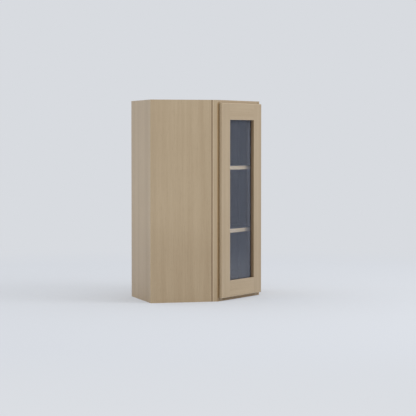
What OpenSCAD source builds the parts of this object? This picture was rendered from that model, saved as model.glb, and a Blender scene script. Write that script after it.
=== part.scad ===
// Diagonal corner wall cabinet with one glazed door.
// It hangs in the corner of a room: its two back panels lie on the walls, at -X and +Y,
// and the door looks out across the corner, towards +X and -Y.

/* [Case] */
// Length of the case along each wall
case_w = 600; // [560:1:680]
// Height of the case
case_h = 914; // [800:1:1070]
// Depth of each side, from its wall to the corner of the face frame
side_d = 312; // [295:1:330]
// Length of wall given up at the clipped back corner
clip_leg = 229; // [190:1:250]
// Thickness of the side panels
side_t = 12; // [10:0.5:16]
// Thickness of the back panels
back_t = 9; // [8:0.5:12]
// Thickness of the top and bottom panels
deck_t = 12; // [9:0.5:18]
// How far the top and bottom panels sit in from the ends of the case
deck_recess = 12; // [8:1:20]
// Depth of the housing grooves that hold the top and bottom panels
housing_d = 4; // [2:0.5:6]
// Half the width of the V groove where a side panel meets the face frame
vee_w = 1.2; // [0.5:0.1:2]

/* [Hanging rails] */
// Thickness of a hanging rail
hang_t = 18; // [12:1:22]
// Height of a hanging rail
hang_h = 70; // [50:1:90]
// Distance between the two wall screws in a hanging rail
hang_pitch = 240; // [180:1:260]
// Radius of a wall screw hole
hang_hole_r = 2.5; // [2:0.1:3.5]
// Leg of the triangular glue blocks in the corners
block_leg = 70; // [40:1:100]

/* [Face frame] */
// Thickness of the face frame
frame_t = 19; // [16:0.5:22]
// Width of a face frame stile
stile_w = 44; // [40:0.5:50]
// Height of a face frame rail
rail_h = 38; // [32:1:50]
// Length of a tenon on a face frame rail
tenon_l = 14; // [8:1:20]
// Thickness of a tenon on a face frame rail
tenon_t = 7; // [5:0.5:9]
// Shoulder above and below a tenon
tenon_shoulder = 7; // [4:0.5:10]

/* [Door] */
// Thickness of the door
door_t = 16; // [15:0.5:20]
// Gap between the closed door and the face frame
door_gap = 1.5; // [1.2:0.1:2.5]
// Face frame left showing at each side of the door
reveal_side = 11; // [10:0.5:13]
// Face frame left showing above the door
reveal_top = 13; // [8:0.5:18]
// Face frame left showing below the door
reveal_bottom = 14; // [8:0.5:18]
// Width of a door stile
door_stile_w = 76; // [66:1:84]
// Height of a door rail
door_rail_h = 76; // [60:1:90]
// Radius of the door's outer edges
edge_r = 3; // [2.5:0.1:4]
// Length of a tenon on a door rail
door_tenon_l = 22; // [14:1:28]
// Thickness of a tenon on a door rail
door_tenon_t = 5; // [4:0.5:6]
// Shoulder above and below a door tenon
door_tenon_shoulder = 12; // [8:1:18]

/* [Glass] */
// Thickness of the glass pane
glass_t = 3; // [2.5:0.1:4]
// How far the pane laps over the back of the door
glass_lap = 10; // [9:0.5:12]
// Thickness of the seal between door and pane
seal_t = 4; // [2:0.5:5]
// Width of the seal
seal_w = 7; // [4:0.5:8]
// Length of the foot of a glass clip
clip_foot = 14; // [12:0.5:16]
// Width of a glass clip
clip_w = 12; // [10:0.5:16]
// Reach of a glass clip over the pane
clip_reach = 8; // [5:0.5:9]
// Thickness of the lip of a glass clip
clip_lip = 2; // [1.5:0.1:3]
// Distance between the glass clips along a stile
clip_pitch = 300; // [220:1:340]

/* [Hinges] */
// Distance of a hinge from the top or bottom edge of the door
hinge_inset = 95; // [70:1:140]
// Radius of a hinge cup
cup_r = 17.5; // [17:0.1:18]
// Depth of a hinge cup
cup_d = 12; // [11.8:0.1:12.5]
// Sheet thickness of a hinge cup
cup_wall = 0.8; // [0.6:0.1:0.9]
// Wood left between the cup and the edge of the door
cup_tab = 3; // [2.8:0.1:3.2]
// Hinge pin, measured in from the edge of the door
pivot_in = 6.8; // [6.6:0.1:7]
// Hinge pin, measured out from the back of the door
pivot_out = 8.5; // [8.4:0.1:8.6]
// Radius of the hinge pin
pin_r = 1; // [0.8:0.05:1.2]
// Running clearance round the hinge pin
pin_clear = 0.05; // [0.03:0.01:0.08]
// Thickness of the hinge arm
arm_t = 2; // [1.6:0.1:2]
// Width of the hinge arm
arm_w = 10; // [8:0.5:10]
// Length of the hinge arm's foot, up and down the stile
foot_l = 34; // [30:1:44]
// Distance between the two screws of a hinge cup
cup_screw_pitch = 45; // [43:0.5:50]
// Distance between the two screws of a hinge foot
foot_screw_pitch = 22; // [20:0.5:26]

/* [Shelves] */
// Thickness of a shelf
shelf_t = 17; // [15:0.5:19]
// Height of the lower shelf's top above the bottom of the case
lower_shelf_z = 321.5; // [260:0.5:380]
// Height of the upper shelf's top above the bottom of the case
upper_shelf_z = 612.5; // [520:0.5:640]
// Clearance round a shelf
shelf_gap = 1.5; // [1:0.1:3]
// Gap between the face frame and the front of a shelf
shelf_setback = 6; // [3:0.5:20]
// Depth of the wooden edging on a shelf
edging_w = 6; // [3:0.5:12]
// Radius of a shelf peg and its hole
peg_r = 2.5; // [2:0.1:3]
// Depth of a peg hole
peg_hole_d = 7; // [5:0.5:7.5]
// Radius of the head of a shelf peg
peg_head_r = 4; // [3.5:0.1:5]
// Length of the head of a shelf peg
peg_head_l = 8; // [6:0.5:10]
// Front pair of pegs, back from the face frame
peg_front_in = 50; // [30:1:90]
// Rear pair of pegs, in from the wall
peg_rear_in = 70; // [40:1:110]
// Distance between peg holes, up and down
peg_pitch = 32; // [25:1:40]
// Number of peg holes for each peg
peg_rows = 3; // [1:2:5]

/* [Catch] */
// Height of the magnetic catch above the bottom of the case
catch_z = 457; // [300:1:600]
// Width of the catch housing
catch_w = 12; // [10:0.5:14]
// Height of the catch housing
catch_h = 24; // [20:1:30]
// Gap between the magnet and its strike plate
catch_gap = 0.3; // [0.2:0.05:0.4]
// Thickness of the strike plate
strike_t = 1; // [0.8:0.1:1.2]

/* [Screws] */
// Radius of a small wood screw's shank
screw_r = 1.6; // [1.3:0.1:1.8]
// Length of a small wood screw under its head
screw_l = 11; // [8:0.5:11]
// Radius of a small wood screw's head
screw_head_r = 3.2; // [2.8:0.1:3.4]
// Height of a pan head
screw_head_h = 1.8; // [1.4:0.1:2.2]
// Radius of a door bumper
bumper_r = 4; // [3:0.1:5]

/* [Hidden] */
$fn = 48;

sq2 = sqrt(2);
cut = 1;                                    // how far a cutter runs past a face
mitre = tan(22.5);                          // slope of the back panels' mitre joints

// The diagonal front, measured along the face frame
diag_l = (case_w - side_d) * sq2;
door_front = door_gap + door_t;             // face of the door in front of the face frame
door_w = diag_l - 2 * reveal_side;
door_h = case_h - reveal_top - reveal_bottom;
door_z1 = reveal_bottom + door_h;

// How far the door's rounded corners stand out past the side panels
door_out = max(0, (door_front - reveal_side - 2 * edge_r) / sq2 + edge_r);

// Planes of the case: walls at -half_w in X and +half_w in Y
half_w = (case_w + door_out) / 2;
wall_x = -half_w;
wall_y = half_w;
side_y = wall_y - case_w;                   // outer face of the left side panel
corner_x = wall_x + side_d;                 // left corner of the face frame
seam_x = corner_x - frame_t * sq2;          // where side panel and face frame meet
back_end_y = wall_y - clip_leg;             // end of the left back panel, at its outer face
side_lap = side_t / 2;                      // side panel left outside the back panel's rabbet

// Top and bottom panels
deck_z = [deck_recess, case_h - deck_recess - deck_t];

// Hanging rails, under the top panel and on the bottom panel
hang_z = [deck_recess + deck_t, case_h - deck_recess - deck_t - hang_h];
hang_y0 = side_y + side_t;
hang_y1 = back_end_y - back_t * mitre;
hang_mid_y = (hang_y0 + hang_y1) / 2;

// Door opening and pane
open_x = [reveal_side + door_stile_w, diag_l - reveal_side - door_stile_w];
open_z = [reveal_bottom + door_rail_h, door_z1 - door_rail_h];
pane_y = seal_t - door_gap;                 // front of the pane, behind the face of the frame
pane_x = [open_x[0] - glass_lap, open_x[1] + glass_lap];
pane_z = [open_z[0] - glass_lap, open_z[1] + glass_lap];
seal_in = (glass_lap - seal_w) / 2;         // seal set back from the edge of the opening
clip_clear = 0.3;                           // play between the pane's edge and a clip
clip_screw_in = 5;                          // clip screw from the end of its foot
clip_foot_h = 2.5;                          // height of a clip at the end of its foot
open_mid = [(open_x[0] + open_x[1]) / 2, (open_z[0] + open_z[1]) / 2];

// Door bumpers, their middles in from the door's edges
bumper_x = reveal_side + 2.5 * bumper_r;
bumper_z = [reveal_bottom + 2 * bumper_r, door_z1 - 2 * bumper_r];

// Hinges, measured in (a) from the right corner of the frame and out (b) from its face
cup_a = reveal_side + cup_tab + cup_r;
pivot_a = reveal_side + pivot_in;
pivot_b = door_gap + pivot_out;
knuckle_r = 2;
arm_rise = 2.3;                             // top of the arm above the pin
arm_top = pivot_b + arm_rise;
bend_r = 4;
foot_front = 2;                             // foot set back from the face of the frame
foot_back = 1.5;                            // frame left behind the foot
foot_b = [foot_back - frame_t, -foot_front];
flange_t = 1;
flange_w = 16;
flange_back = 2;                            // flange behind the middle of the cup
cup_screw_a = 9.5;                          // cup screws from the middle of the cup
flange_end = 5.5;                           // flange past its screws
flange_h = cup_screw_pitch + 2 * flange_end;
flange_r = 4;
foot_r = 3;
hinge_z = [reveal_bottom + hinge_inset, door_z1 - hinge_inset];
pin_end = 0.3;                              // metal left beyond the ends of the pin
pin_l = 2 * (sqrt(pow(cup_r, 2) - pow(cup_a - pivot_a + pin_r, 2)) - pin_end);

// Shelves
shelf_in = side_t + shelf_gap;
shelf_back = back_t + shelf_gap;
shelf_front = frame_t + shelf_setback;
peg_front_x = seam_x - peg_front_in;
peg_rear_x = wall_x + peg_rear_in;
lower_peg_z = lower_shelf_z - shelf_t - peg_r;
upper_peg_z = upper_shelf_z - shelf_t - peg_r;

// Catch, on the edge of the left stile
strike_in = 1;                              // strike plate in from the edge of the stile
strike_x = stile_w + strike_in;
strike_h = 36;
catch_ear_t = 2.5;
catch_ear_h = 12;
catch_front = -(door_gap - strike_t - catch_gap);
catch_short = 4;                            // housing shorter than the frame is thick
catch_d = frame_t - catch_short;
catch_wall = 2;
magnet_d = 6;

// Colours
wood = "#ac9a7e";
veneer = "#a39277";
grey_wood = "#a1927e";
ply = "#c0ab88";
slate = "#2c3036";
nickel = "#b9b9b6";
steel = "#8d8f92";
black = "#1e1f21";
clear_plastic = "#c9cdd0";
glass = [0.62, 0.7, 0.74, 0.35];

// ---------- Helpers ----------

// Left corner of the face frame is the origin; X runs along the frame, -Y points out
module on_diagonal() translate([corner_x, side_y, 0]) rotate([0, 0, 45]) children();

// Right corner of the face frame is the origin; X runs in along the frame, +Y points out
module on_hinge_side()
    on_diagonal() translate([diag_l, 0, 0]) rotate([0, 0, 180]) children();

// The case is the same on both sides of the line that halves the corner
module other_side() mirror([1, 1, 0]) children();

// Plan of a panel inside the case: its gap to the sides, the backs and the front
function side_front(in_side, in_front) =
    [corner_x + in_side - in_front * sq2, side_y + in_side];
function flip(p) = [-p[1], -p[0]];
function plan_points(in_side, in_back, in_front) =
    let (rear = [wall_x + in_back, side_y + in_side],
         front = side_front(in_side, in_front),
         clipped = [wall_x + in_back, back_end_y - in_back * mitre])
    [rear, front, flip(front), flip(rear), flip(clipped), clipped];

module decks()
    for (z = deck_z)
        translate([0, 0, z])
            linear_extrude(deck_t)
                polygon(plan_points(side_t - housing_d, back_t - housing_d, frame_t));

module rounded_rect(w, h, r) {
    translate([r, 0]) square([w - 2 * r, h]);
    translate([0, r]) square([w, h - 2 * r]);
    for (x = [r, w - r], y = [r, h - r]) translate([x, y]) circle(r);
}

// A wood screw along +Z, its head below Z = 0. A flat head fills the plate that it holds
module screw(plate = 0) {
    head_h = plate > 0 ? plate : screw_head_h;
    translate([0, 0, -head_h]) cylinder(r = screw_head_r, h = head_h);
    cylinder(r = screw_r, h = screw_l - plate);
}

// The holes for it: a shank hole in wood or plate, and a seat for a flat head in a plate
module screw_hole(plate = 0)
    translate([0, 0, -cut]) cylinder(r = screw_r, h = screw_l - plate + cut);

module head_hole(plate)
    translate([0, 0, -plate - cut]) cylinder(r = screw_head_r, h = plate + 2 * cut);

// ---------- Case ----------

module left_back_blank()
    linear_extrude(case_h)
        polygon([[wall_x, side_y + side_lap], [wall_x + back_t, side_y + side_lap],
                 [wall_x + back_t, back_end_y - back_t * mitre], [wall_x, back_end_y]]);

// Where the left pair of pegs and the corner peg stand: place, and angle of the peg
left_pegs = [[[peg_rear_x, side_y + side_t], 90], [[peg_front_x, side_y + side_t], 90]];
corner_peg = [[wall_x + clip_leg / 2 + back_t / sq2, wall_y - clip_leg / 2 - back_t / sq2], -45];

module at_peg(p, z) translate([p[0][0], p[0][1], z]) rotate([0, 0, p[1]]) rotate([0, 90, 0]) children();

module peg_holes(places)
    for (p = places, base = [lower_peg_z, upper_peg_z], i = [0 : peg_rows - 1])
        at_peg(p, base + (i - (peg_rows - 1) / 2) * peg_pitch)
            translate([0, 0, -peg_hole_d]) cylinder(r = peg_r, h = peg_hole_d + cut);

module left_side()
    difference() {
        linear_extrude(case_h)
            polygon([[wall_x, side_y], [seam_x - vee_w, side_y],
                     [seam_x + vee_w / sq2, side_y + vee_w / sq2],
                     [seam_x + side_t, side_y + side_t], [wall_x, side_y + side_t]]);
        left_back_blank();
        decks();
        peg_holes(left_pegs);
    }

module left_side_panel() color(veneer) left_side();
module right_side_panel() color(veneer) other_side() left_side();

module wall_holes()
    for (z = hang_z, i = [-1, 1])
        translate([wall_x - cut, hang_mid_y + i * hang_pitch / 2, z + hang_h / 2])
            rotate([0, 90, 0]) cylinder(r = hang_hole_r, h = back_t + hang_t + 2 * cut);

module left_back()
    difference() {
        left_back_blank();
        decks();
        wall_holes();
    }

module left_back_panel() color(grey_wood) left_back();
module right_back_panel() color(grey_wood) other_side() left_back();

module corner_back_panel()
    color(grey_wood)
        difference() {
            linear_extrude(case_h)
                polygon([[wall_x, back_end_y], [wall_x + back_t, back_end_y - back_t * mitre],
                         flip([wall_x + back_t, back_end_y - back_t * mitre]),
                         flip([wall_x, back_end_y])]);
            decks();
            peg_holes([corner_peg]);
        }

module deck(z)
    intersection() {
        decks();
        translate([-case_w, -case_w, z]) cube([2 * case_w, 2 * case_w, deck_t]);
    }

module top_panel() color(ply) deck(deck_z[1]);
module bottom_panel() color(ply) deck(deck_z[0]);

module corner_blocks(z)
    for (side = [0, 1])
        mirror([side, side, 0])
            translate([wall_x + back_t, side_y + side_t, z])
                linear_extrude(deck_recess) polygon([[0, 0], [block_leg, 0], [0, block_leg]]);

module top_corner_blocks() color(ply) corner_blocks(case_h - deck_recess);
module bottom_corner_blocks() color(ply) corner_blocks(0);

module hanging_rail(z)
    difference() {
        translate([wall_x + back_t, hang_y0, z]) cube([hang_t, hang_y1 - hang_y0, hang_h]);
        wall_holes();
    }

module left_upper_hanging_rail() color(ply) hanging_rail(hang_z[1]);
module left_lower_hanging_rail() color(ply) hanging_rail(hang_z[0]);
module right_upper_hanging_rail() color(ply) other_side() hanging_rail(hang_z[1]);
module right_lower_hanging_rail() color(ply) other_side() hanging_rail(hang_z[0]);

// ---------- Face frame ----------

module frame_tenons(z)
    translate([stile_w - tenon_l, (frame_t - tenon_t) / 2, z + tenon_shoulder])
        cube([diag_l - 2 * stile_w + 2 * tenon_l, tenon_t, rail_h - 2 * tenon_shoulder]);

module frame_rail(z)
    on_diagonal() {
        translate([stile_w, 0, z]) cube([diag_l - 2 * stile_w, frame_t, rail_h]);
        frame_tenons(z);
    }

module frame_top_rail() color(wood) frame_rail(case_h - rail_h);
module frame_bottom_rail() color(wood) frame_rail(0);

// The outer edge is cut at 45 degrees, flush with the side panel
module frame_stile_blank()
    difference() {
        linear_extrude(case_h)
            polygon([[0, 0], [stile_w, 0], [stile_w, frame_t], [vee_w - frame_t, frame_t],
                     [vee_w / sq2 - frame_t, frame_t - vee_w / sq2]]);
        for (z = [0, case_h - rail_h]) frame_tenons(z);
    }

module frame_left_stile()
    color(wood)
        difference() {
            on_diagonal() frame_stile_blank();
            at_catch_screws() screw_hole();
        }

module frame_right_stile()
    color(wood)
        difference() {
            other_side() on_diagonal() frame_stile_blank();
            at_arm_screws() screw_hole();
        }

// ---------- Shelves ----------

module shelf(z)
    translate([0, 0, z - shelf_t])
        linear_extrude(shelf_t)
            polygon(plan_points(shelf_in, shelf_back, shelf_front + edging_w));

module upper_shelf() color(slate) shelf(upper_shelf_z);
module lower_shelf() color(slate) shelf(lower_shelf_z);

module edging(z) {
    front = side_front(shelf_in, shelf_front);
    rear = side_front(shelf_in, shelf_front + edging_w);
    translate([0, 0, z - shelf_t])
        linear_extrude(shelf_t) polygon([front, flip(front), flip(rear), rear]);
}

module upper_shelf_edging() color(wood) edging(upper_shelf_z);
module lower_shelf_edging() color(wood) edging(lower_shelf_z);

// A peg with a flat on top, which carries the shelf
module peg() {
    translate([0, 0, -peg_hole_d]) cylinder(r = peg_r, h = peg_hole_d);
    intersection() {
        cylinder(r = peg_head_r, h = peg_head_l);
        translate([-peg_r, -peg_head_r, 0]) cube([2 * peg_head_r, 2 * peg_head_r, peg_head_l]);
    }
}

module pegs(z) {
    for (p = left_pegs) {
        at_peg(p, z) peg();
        other_side() at_peg(p, z) peg();
    }
    at_peg(corner_peg, z) peg();
}

module upper_shelf_pegs() color(nickel) pegs(upper_peg_z);
module lower_shelf_pegs() color(nickel) pegs(lower_peg_z);

// ---------- Door ----------

// The whole door with its edges rounded, before it is split into stiles and rails
module door_blank()
    translate([reveal_side, -door_front, reveal_bottom])
        intersection() {
            linear_extrude(door_h) rounded_rect(door_w, door_t, edge_r);
            rotate([90, 0, 90]) linear_extrude(door_w) rounded_rect(door_t, door_h, edge_r);
        }

module door_slice(x, w, z, h)
    intersection() {
        door_blank();
        translate([x, -door_front, z]) cube([w, door_t, h]);
    }

module door_tenons(z)
    translate([open_x[0] - door_tenon_l, -door_gap - (door_t + door_tenon_t) / 2,
               z + door_tenon_shoulder])
        cube([open_x[1] - open_x[0] + 2 * door_tenon_l, door_tenon_t,
              door_rail_h - 2 * door_tenon_shoulder]);

module door_rail(z)
    difference() {
        on_diagonal() {
            door_slice(open_x[0], open_x[1] - open_x[0], z, door_rail_h);
            door_tenons(z);
        }
        at_clip_screws() screw_hole();
    }

module door_top_rail() color(wood) door_rail(open_z[1]);
module door_bottom_rail() color(wood) door_rail(reveal_bottom);

module door_stile(x)
    difference() {
        on_diagonal() {
            difference() {
                door_slice(x, door_stile_w, reveal_bottom, door_h);
                for (z = [reveal_bottom, open_z[1]]) door_tenons(z);
            }
        }
        at_clip_screws() screw_hole();
    }

module door_left_stile()
    color(wood)
        difference() {
            door_stile(reveal_side);
            at_strike_screw() screw_hole(strike_t);
        }

module door_right_stile()
    color(wood)
        difference() {
            door_stile(open_x[1]);
            cup_bores();
            at_cup_screws() screw_hole(flange_t);
        }

// A bumper stands at the top and the bottom of the closing side
module door_bumpers()
    color(clear_plastic)
        on_diagonal()
            for (z = bumper_z)
                translate([bumper_x, 0, z])
                    rotate([90, 0, 0]) cylinder(r = bumper_r, h = door_gap);

// ---------- Glass ----------

module ring_box(x, z, y, t)
    translate([x[0], y, z[0]]) cube([x[1] - x[0], t, z[1] - z[0]]);

module glass_pane() color(glass) on_diagonal() ring_box(pane_x, pane_z, pane_y, glass_t);

module glass_seal()
    color(black)
        on_diagonal()
            difference() {
                ring_box([open_x[0] - seal_in - seal_w, open_x[1] + seal_in + seal_w],
                         [open_z[0] - seal_in - seal_w, open_z[1] + seal_in + seal_w],
                         -door_gap, seal_t);
                ring_box([open_x[0] - seal_in, open_x[1] + seal_in],
                         [open_z[0] - seal_in, open_z[1] + seal_in],
                         -door_gap - cut, seal_t + 2 * cut);
            }

// Places the clips: X runs over the pane from its edge, Y is the door's depth
module at_clips() {
    on_diagonal() {
        for (i = [-1, 0, 1]) {
            translate([pane_x[0], -door_gap, open_mid[1] + i * clip_pitch]) children();
            translate([pane_x[1], -door_gap, open_mid[1] + i * clip_pitch])
                mirror([1, 0, 0]) children();
        }
        translate([open_mid[0], -door_gap, pane_z[0]]) rotate([0, -90, 0]) children();
        translate([open_mid[0], -door_gap, pane_z[1]]) rotate([0, 90, 0]) children();
    }
}

module glass_clip() {
    edge = -clip_clear;
    foot = edge - clip_foot;
    seat = seal_t + glass_t;
    translate([0, 0, -clip_w / 2])
        difference() {
            linear_extrude(clip_w)
                polygon([[foot, 0], [edge, 0], [edge, seat], [clip_reach, seat],
                         [clip_reach, seat + clip_lip], [edge - clip_lip, seat + clip_lip],
                         [foot + 2 * clip_screw_in, clip_foot_h], [foot, clip_foot_h]]);
            translate([foot + clip_screw_in, clip_foot_h, clip_w / 2])
                rotate([90, 0, 0]) screw_hole();
        }
}

module glass_clips() color(black) at_clips() glass_clip();

module at_clip_screws()
    at_clips()
        translate([clip_screw_in - clip_clear - clip_foot, clip_foot_h, 0])
            rotate([90, 0, 0]) children();

module glass_clip_screws() color(nickel) at_clip_screws() screw();

// ---------- Hinges ----------

module cup_bores()
    on_hinge_side()
        for (z = hinge_z)
            translate([cup_a, door_gap - cut, z]) rotate([-90, 0, 0]) cylinder(r = cup_r, h = cup_d + cut);

module hinge_pin(z) translate([pivot_a, pivot_b, z - pin_l / 2]) cylinder(r = pin_r, h = pin_l);

module at_cup_screws()
    on_hinge_side()
        for (z = hinge_z, i = [-1, 1])
            translate([cup_a + cup_screw_a, door_gap, z + i * cup_screw_pitch / 2])
                rotate([-90, 0, 0]) children();

module hinge_cup(z)
    difference() {
        on_hinge_side()
            difference() {
                union() {
                    translate([cup_a, door_gap, z]) rotate([-90, 0, 0]) cylinder(r = cup_r, h = cup_d);
                    translate([cup_a - flange_back, door_gap, z - flange_h / 2])
                        rotate([90, 0, 0])
                            linear_extrude(flange_t) rounded_rect(flange_w, flange_h, flange_r);
                }
                translate([cup_a, door_gap - flange_t - cut, z])
                    rotate([-90, 0, 0])
                        cylinder(r = cup_r - cup_wall, h = cup_d - cup_wall + flange_t + cut);
                hinge_pin(z);
            }
        at_cup_screws() head_hole(flange_t);
    }

module upper_hinge_cup() color(nickel) hinge_cup(hinge_z[1]);
module lower_hinge_cup() color(nickel) hinge_cup(hinge_z[0]);

module hinge_pins() color(steel) on_hinge_side() for (z = hinge_z) hinge_pin(z);

// Side view of the arm: an eye on the pin, a bend out of the cup, and a leg to the foot
module arm_profile() {
    bend_x = stile_w + arm_t - bend_r;
    bend_y = arm_top - bend_r;
    translate([pivot_a, pivot_b]) circle(knuckle_r);
    translate([pivot_a, arm_top - arm_t]) square([bend_x - pivot_a, arm_t]);
    translate([stile_w, foot_b[1]]) square([arm_t, bend_y - foot_b[1]]);
    translate([bend_x, bend_y])
        intersection() {
            difference() {
                circle(bend_r);
                circle(bend_r - arm_t);
            }
            square(bend_r);
        }
}

module at_arm_screws()
    on_hinge_side()
        for (z = hinge_z, i = [-1, 1])
            translate([stile_w + arm_t, (foot_b[0] + foot_b[1]) / 2, z + i * foot_screw_pitch / 2])
                rotate([0, -90, 0]) children();

module hinge_arm(z)
    difference() {
        on_hinge_side()
            difference() {
                union() {
                    translate([0, 0, z - arm_w / 2]) linear_extrude(arm_w) arm_profile();
                    translate([stile_w, foot_b[0], z - foot_l / 2])
                        rotate([90, 0, 90])
                            linear_extrude(arm_t)
                                rounded_rect(foot_b[1] - foot_b[0], foot_l, foot_r);
                }
                translate([pivot_a, pivot_b, z - arm_w])
                    cylinder(r = pin_r + pin_clear, h = 2 * arm_w);
            }
        at_arm_screws() screw_hole();
    }

module upper_hinge_arm() color(nickel) hinge_arm(hinge_z[1]);
module lower_hinge_arm() color(nickel) hinge_arm(hinge_z[0]);
module hinge_cup_screws() color(steel) at_cup_screws() screw(flange_t);
module hinge_arm_screws() color(steel) at_arm_screws() screw();

// ---------- Catch ----------

module magnet_box(past = 0)
    translate([stile_w + catch_ear_t, catch_front - past, catch_z - catch_h / 2 + catch_wall])
        cube([catch_w - catch_ear_t - catch_wall, magnet_d + past, catch_h - 2 * catch_wall]);

module at_catch_screws()
    on_diagonal()
        for (i = [-1, 1])
            translate([stile_w + catch_ear_t, frame_t / 2, catch_z + i * (catch_h + catch_ear_h) / 2])
                rotate([0, -90, 0]) children();

module catch_housing()
    color(black)
        difference() {
            on_diagonal()
                difference() {
                    union() {
                        translate([stile_w, catch_front, catch_z - catch_h / 2])
                            cube([catch_w, catch_d, catch_h]);
                        translate([stile_w, (frame_t - catch_ear_h) / 2,
                                   catch_z - catch_h / 2 - catch_ear_h])
                            cube([catch_ear_t, catch_ear_h, catch_h + 2 * catch_ear_h]);
                    }
                    magnet_box(cut);
                }
            at_catch_screws() screw_hole();
        }

module catch_magnet() color(steel) on_diagonal() magnet_box();
module catch_screws() color(nickel) at_catch_screws() screw();

module at_strike_screw()
    on_diagonal()
        translate([strike_x + catch_w / 2, -door_gap, catch_z]) rotate([90, 0, 0]) children();

module strike_plate()
    color(nickel)
        difference() {
            on_diagonal()
                translate([strike_x, -door_gap, catch_z - strike_h / 2])
                    cube([catch_w, strike_t, strike_h]);
            at_strike_screw() head_hole(strike_t);
        }

module strike_plate_screw() color(steel) at_strike_screw() screw(strike_t);

left_side_panel();
right_side_panel();
left_back_panel();
right_back_panel();
corner_back_panel();
top_panel();
bottom_panel();
top_corner_blocks();
bottom_corner_blocks();
left_upper_hanging_rail();
left_lower_hanging_rail();
right_upper_hanging_rail();
right_lower_hanging_rail();
frame_left_stile();
frame_right_stile();
frame_top_rail();
frame_bottom_rail();
upper_shelf();
lower_shelf();
upper_shelf_edging();
lower_shelf_edging();
upper_shelf_pegs();
lower_shelf_pegs();
door_left_stile();
door_right_stile();
door_top_rail();
door_bottom_rail();
glass_pane();
glass_seal();
glass_clips();
glass_clip_screws();
door_bumpers();
upper_hinge_cup();
lower_hinge_cup();
upper_hinge_arm();
lower_hinge_arm();
hinge_pins();
hinge_cup_screws();
hinge_arm_screws();
catch_housing();
catch_magnet();
catch_screws();
strike_plate();
strike_plate_screw();
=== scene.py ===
"""The looks of a diagonal corner wall cabinet with one glazed door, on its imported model.

The two back panels lie on the walls at -X and +Y, and the door looks out across the corner,
towards +X and -Y. All lengths are in metres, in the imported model's own frame.
"""

import logging
import math
from abc import ABC, abstractmethod
from dataclasses import dataclass
from enum import Enum
from typing import Any, Callable, Iterable, Mapping, Sequence, Union

import bmesh
import bpy
import numpy as np
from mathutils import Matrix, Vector


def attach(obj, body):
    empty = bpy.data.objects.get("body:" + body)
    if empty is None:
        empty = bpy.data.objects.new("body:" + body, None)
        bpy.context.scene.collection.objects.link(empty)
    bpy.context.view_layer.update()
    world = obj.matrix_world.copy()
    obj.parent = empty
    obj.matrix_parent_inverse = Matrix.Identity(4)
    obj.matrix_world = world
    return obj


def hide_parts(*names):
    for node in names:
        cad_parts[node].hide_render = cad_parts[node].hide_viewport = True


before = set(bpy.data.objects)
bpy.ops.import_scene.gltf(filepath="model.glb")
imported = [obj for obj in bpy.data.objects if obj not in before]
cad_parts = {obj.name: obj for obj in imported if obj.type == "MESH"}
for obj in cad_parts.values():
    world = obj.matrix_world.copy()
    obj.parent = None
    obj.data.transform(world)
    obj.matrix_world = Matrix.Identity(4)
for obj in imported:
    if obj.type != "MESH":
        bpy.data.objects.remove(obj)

log = logging.getLogger("corner_cabinet")

Pair = tuple[float, float]
Triple = tuple[float, float, float]
Socket = bpy.types.NodeSocket
Node = bpy.types.Node
Material = bpy.types.Material

UP = Vector((0.0, 0.0, 1.0))
ALONG = Vector((1.0, 1.0, 0.0)).normalized()  # along the diagonal front, left to right
INWARD = Vector((-1.0, 1.0, 0.0)).normalized()  # from the door into the case
ALIKE = 0.5  # cosine above which two directions count as alike
HAIR = 1e-5  # corners nearer than this count as level
DECIMALS = 6  # to which lengths are rounded


def linear(code: str) -> tuple[float, float, float, float]:
    """Turn six hexadecimal digits after a hash sign into a linear colour, by the sRGB curve."""
    parts = [int(code[i : i + 2], 16) / 255 for i in (1, 3, 5)]
    return (*(p / 12.92 if p <= 0.04045 else ((p + 0.055) / 1.055) ** 2.4 for p in parts), 1.0)


# -------- node trees

Operand = Union["Value", float]


def operator(operation: str, turned: bool = False) -> Callable[["Value", Operand], "Value"]:
    """Make one of Value's operators.

    Args:
        operation: The Math node's operation.
        turned: Whether it is the reflected form, with the value on the right.

    Returns:
        The method.
    """

    def method(value: "Value", other: Operand) -> "Value":
        """Add the Math node."""
        return value.math(operation, *((other, value) if turned else (value, other)))

    return method


class Value:
    """A shader socket that takes part in Python sums. Each operator adds a Math node."""

    def __init__(self, maker: "TreeMaker", socket: Socket) -> None:
        """Wrap a socket that belongs to the maker's tree."""
        self.maker = maker
        self.socket = socket

    def math(self, operation: str, *values: Operand) -> "Value":
        """Add a Math node with these inputs, and take its result."""
        node = self.maker.make("ShaderNodeMath", dict(enumerate(values)), operation=operation)
        return self.maker.number(node)

    __add__, __radd__ = operator("ADD"), operator("ADD", True)
    __sub__, __rsub__ = operator("SUBTRACT"), operator("SUBTRACT", True)
    __mul__, __rmul__ = operator("MULTIPLY"), operator("MULTIPLY", True)
    __gt__, __lt__ = operator("GREATER_THAN"), operator("LESS_THAN")
    __mod__ = operator("FLOORED_MODULO")
    top, least = operator("MAXIMUM"), operator("MINIMUM")

    def __abs__(self) -> "Value":
        """Size without sign."""
        return self.math("ABSOLUTE", self)

    def ease(self, low: float, high: float) -> "Value":
        """Rise smoothly from 0 to 1.

        Args:
            low: Where the result is 0.
            high: Where the result is 1, which may lie below low.

        Returns:
            The eased value.
        """
        ends = {"Value": self, "From Min": low, "From Max": high}
        node = self.maker.make("ShaderNodeMapRange", ends, interpolation_type="SMOOTHSTEP")
        return self.maker.number(node)


Input = Value | Socket | Node | str | float | Sequence[Any]
Inputs = Mapping[str | int, Input]


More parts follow.
